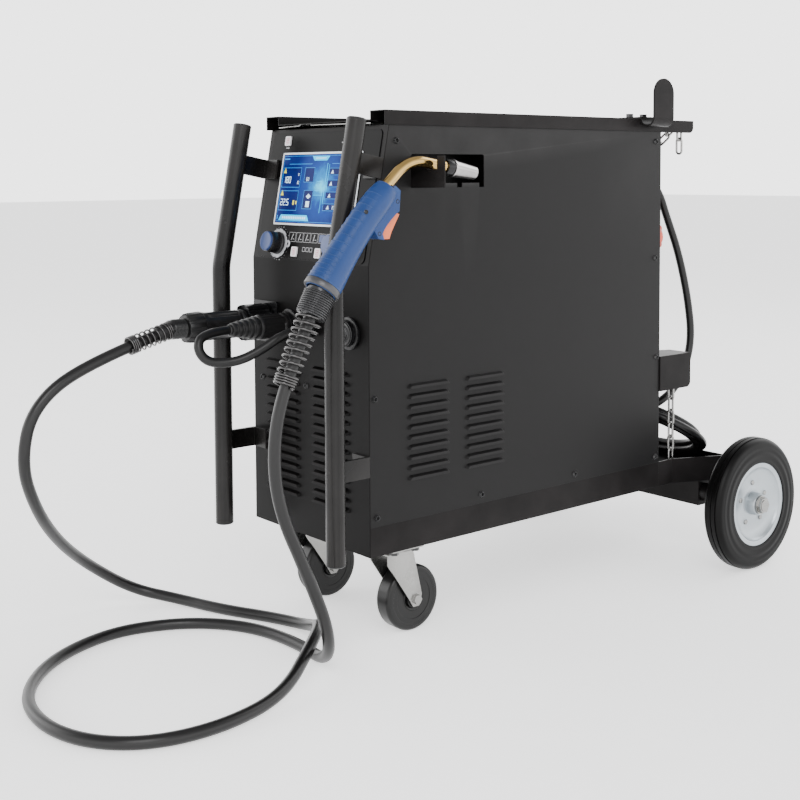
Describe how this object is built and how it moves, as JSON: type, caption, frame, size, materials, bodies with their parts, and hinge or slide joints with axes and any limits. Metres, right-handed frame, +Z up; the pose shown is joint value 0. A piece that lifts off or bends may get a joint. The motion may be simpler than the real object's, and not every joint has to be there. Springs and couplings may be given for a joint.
{
  "type": "welding machine on cart",
  "caption": "Wheeled wire-feed welder cabinet with a sloped control panel, rear gas bottle shelf, push handles and a hose-fed torch in a side holder.",
  "frame": {"origin": "centre of the base of the bounding box, on the floor, measured without the hose and mains lead", "axes": "+Z up, -Y the front with the control panel, +Y the rear with the gas bottle shelf, +X the side with the torch holder"},
  "size_m": [0.584, 1.3429, 0.8445],
  "materials": {
    "powder_coat": "satin black powder coat",
    "powder_coat_side": "satin black powder coat",
    "rubber_tyre": "dull",
    "zinc_rim": "silver paint, satin",
    "zinc_plate": "zinc plated, satin",
    "caster_rubber": "dull",
    "black_plastic": "fine texture",
    "gloss_black": "glossy",
    "fascia_film": "satin printed film",
    "display": "glossy lit screen",
    "knob_black": "glossy black with a blue cap",
    "button_white": "satin white",
    "torch_blue": "satin blue",
    "trigger_orange": "satin orange",
    "boot_grey": "dull grey",
    "brass": "polished",
    "nozzle_chrome": "polished, slightly brushed",
    "spring_steel": "dark wire",
    "hose_rubber": "satin dark grey",
    "cable_rubber": "satin black",
    "switch_red": "satin red-orange",
    "spool_plastic": "satin dark grey with wound copper-coloured wire",
    "aluminium_block": "machined",
    "handle_black": "satin black powder coat"
  },
  "bodies": {
    "cart": {"base_tray": "powder_coat", "cylinder_shelf": "powder_coat", "rear_axle": "zinc_plate", "caster_plates": "zinc_plate", "front_panel": "powder_coat", "right_side_panel": "powder_coat_side", "left_side_panel": "powder_coat_side", "door_hinges": "powder_coat_side", "rear_panel": "powder_coat", "top_lid": "powder_coat", "fasteners": "zinc_plate", "control_fascia": "fascia_film", "display_glass": "display", "torch_holder": "powder_coat", "handle_right": "handle_black", "handle_left": "handle_black", "torch_socket": "gloss_black", "torch_plug": "black_plastic", "output_sockets": "gloss_black", "polarity_plug": "black_plastic", "polarity_lead": "cable_rubber", "torch_shell_right": "torch_blue", "torch_shell_left": "torch_blue", "torch_neck": "brass", "torch_nozzle": "nozzle_chrome", "torch_boot": "boot_grey", "torch_spring": "spring_steel", "torch_hose": "hose_rubber", "hose_hanger": "powder_coat", "cylinder_brackets": "powder_coat", "cylinder_chains": "zinc_plate", "mains_gland": "black_plastic", "mains_cable": "cable_rubber", "mains_coil": "cable_rubber", "mains_tail": "cable_rubber", "mains_plug": "black_plastic", "divider_wall": "zinc_plate", "wire_feeder": "aluminium_block", "power_module": "aluminium_block"},
    "rear_wheel_right": {"rear_tyre_right": "rubber_tyre", "rear_rim_right": "zinc_rim"},
    "rear_wheel_left": {"rear_tyre_left": "rubber_tyre", "rear_rim_left": "zinc_rim"},
    "caster_right": {"caster_fork_right": "zinc_plate"},
    "caster_left": {"caster_fork_left": "zinc_plate"},
    "caster_roller_right": {"caster_wheel_right": "caster_rubber"},
    "caster_roller_left": {"caster_wheel_left": "caster_rubber"},
    "knob_right": {"knob_right": "knob_black"},
    "knob_left": {"knob_left": "knob_black"},
    "button_power": {"button_power": "button_white"},
    "button_left": {"button_left": "button_white"},
    "button_right": {"button_right": "button_white"},
    "trigger": {"torch_trigger": "trigger_orange"},
    "plug_nut": {"torch_plug_nut": "gloss_black"},
    "door": {"left_door": "powder_coat_side"},
    "latch": {"door_latch": "gloss_black"},
    "spool": {"wire_spool": "spool_plastic"},
    "feed_roll": {"drive_roll": "zinc_plate"},
    "fan": {"fan_rotor": "black_plastic"},
    "power_switch": {"mains_switch": "switch_red"}
  },
  "joints": [
    {"name": "rear_wheel_right_spin", "type": "hinge", "parent": "cart", "child": "rear_wheel_right", "pos_m": [0.262, 0.38793, 0.114], "axis": [1, 0, 0], "continuous": true},
    {"name": "rear_wheel_left_spin", "type": "hinge", "parent": "cart", "child": "rear_wheel_left", "pos_m": [-0.262, 0.38793, 0.114], "axis": [1, 0, 0], "continuous": true},
    {"name": "caster_right_swivel", "type": "hinge", "parent": "cart", "child": "caster_right", "pos_m": [0.103, -0.28807, 0.11], "axis": [0, 0, 1], "continuous": true},
    {"name": "caster_left_swivel", "type": "hinge", "parent": "cart", "child": "caster_left", "pos_m": [-0.103, -0.28807, 0.11], "axis": [0, 0, 1], "continuous": true},
    {"name": "caster_right_roll", "type": "hinge", "parent": "caster_right", "child": "caster_roller_right", "pos_m": [0.103, -0.25807, 0.05], "axis": [1, 0, 0], "continuous": true},
    {"name": "caster_left_roll", "type": "hinge", "parent": "caster_left", "child": "caster_roller_left", "pos_m": [-0.103, -0.25807, 0.05], "axis": [1, 0, 0], "continuous": true},
    {"name": "knob_right_turn", "type": "hinge", "parent": "cart", "child": "knob_right", "pos_m": [0.079, -0.36934, 0.58246], "axis": [0, -0.9819, 0.1895], "continuous": true},
    {"name": "knob_left_turn", "type": "hinge", "parent": "cart", "child": "knob_left", "pos_m": [-0.079, -0.36934, 0.58246], "axis": [0, -0.9819, 0.1895], "continuous": true},
    {"name": "button_power_press", "type": "slide", "parent": "cart", "child": "button_power", "axis": [0, 0.9819, -0.1895], "range_m": [0, 0.001], "stiffness_N_per_m": 400},
    {"name": "button_left_press", "type": "slide", "parent": "cart", "child": "button_left", "axis": [0, 0.9819, -0.1895], "range_m": [0, 0.001], "stiffness_N_per_m": 400},
    {"name": "button_right_press", "type": "slide", "parent": "cart", "child": "button_right", "axis": [0, 0.9819, -0.1895], "range_m": [0, 0.001], "stiffness_N_per_m": 400},
    {"name": "trigger_pull", "type": "hinge", "parent": "cart", "child": "trigger", "pos_m": [0.19, -0.34707, 0.6345], "axis": [-1, 0, 0], "range_deg": [0, 3], "stiffness_Nm_per_rad": 1.5},
    {"name": "plug_nut_turn", "type": "hinge", "parent": "cart", "child": "plug_nut", "pos_m": [-0.108, -0.39107, 0.458], "axis": [0, 1, 0], "continuous": true},
    {"name": "door_swing", "type": "hinge", "parent": "cart", "child": "door", "pos_m": [-0.151, 0.23693, 0.535], "axis": [0, 0, -1], "range_deg": [0, 110]},
    {"name": "latch_turn", "type": "hinge", "parent": "door", "child": "latch", "pos_m": [-0.147, -0.27907, 0.535], "axis": [1, 0, 0], "range_deg": [0, 90]},
    {"name": "spool_spin", "type": "hinge", "parent": "cart", "child": "spool", "pos_m": [-0.08, 0.06593, 0.565], "axis": [1, 0, 0], "continuous": true},
    {"name": "feed_roll_spin", "type": "hinge", "parent": "cart", "child": "feed_roll", "pos_m": [-0.058, -0.21407, 0.452], "axis": [1, 0, 0], "continuous": true},
    {"name": "fan_spin", "type": "hinge", "parent": "cart", "child": "fan", "pos_m": [0.062, 0.25093, 0.33], "axis": [0, 1, 0], "continuous": true},
    {"name": "power_switch_turn", "type": "hinge", "parent": "cart", "child": "power_switch", "pos_m": [0.122, 0.28593, 0.575], "axis": [0, 1, 0], "range_deg": [0, 90]}
  ]
}
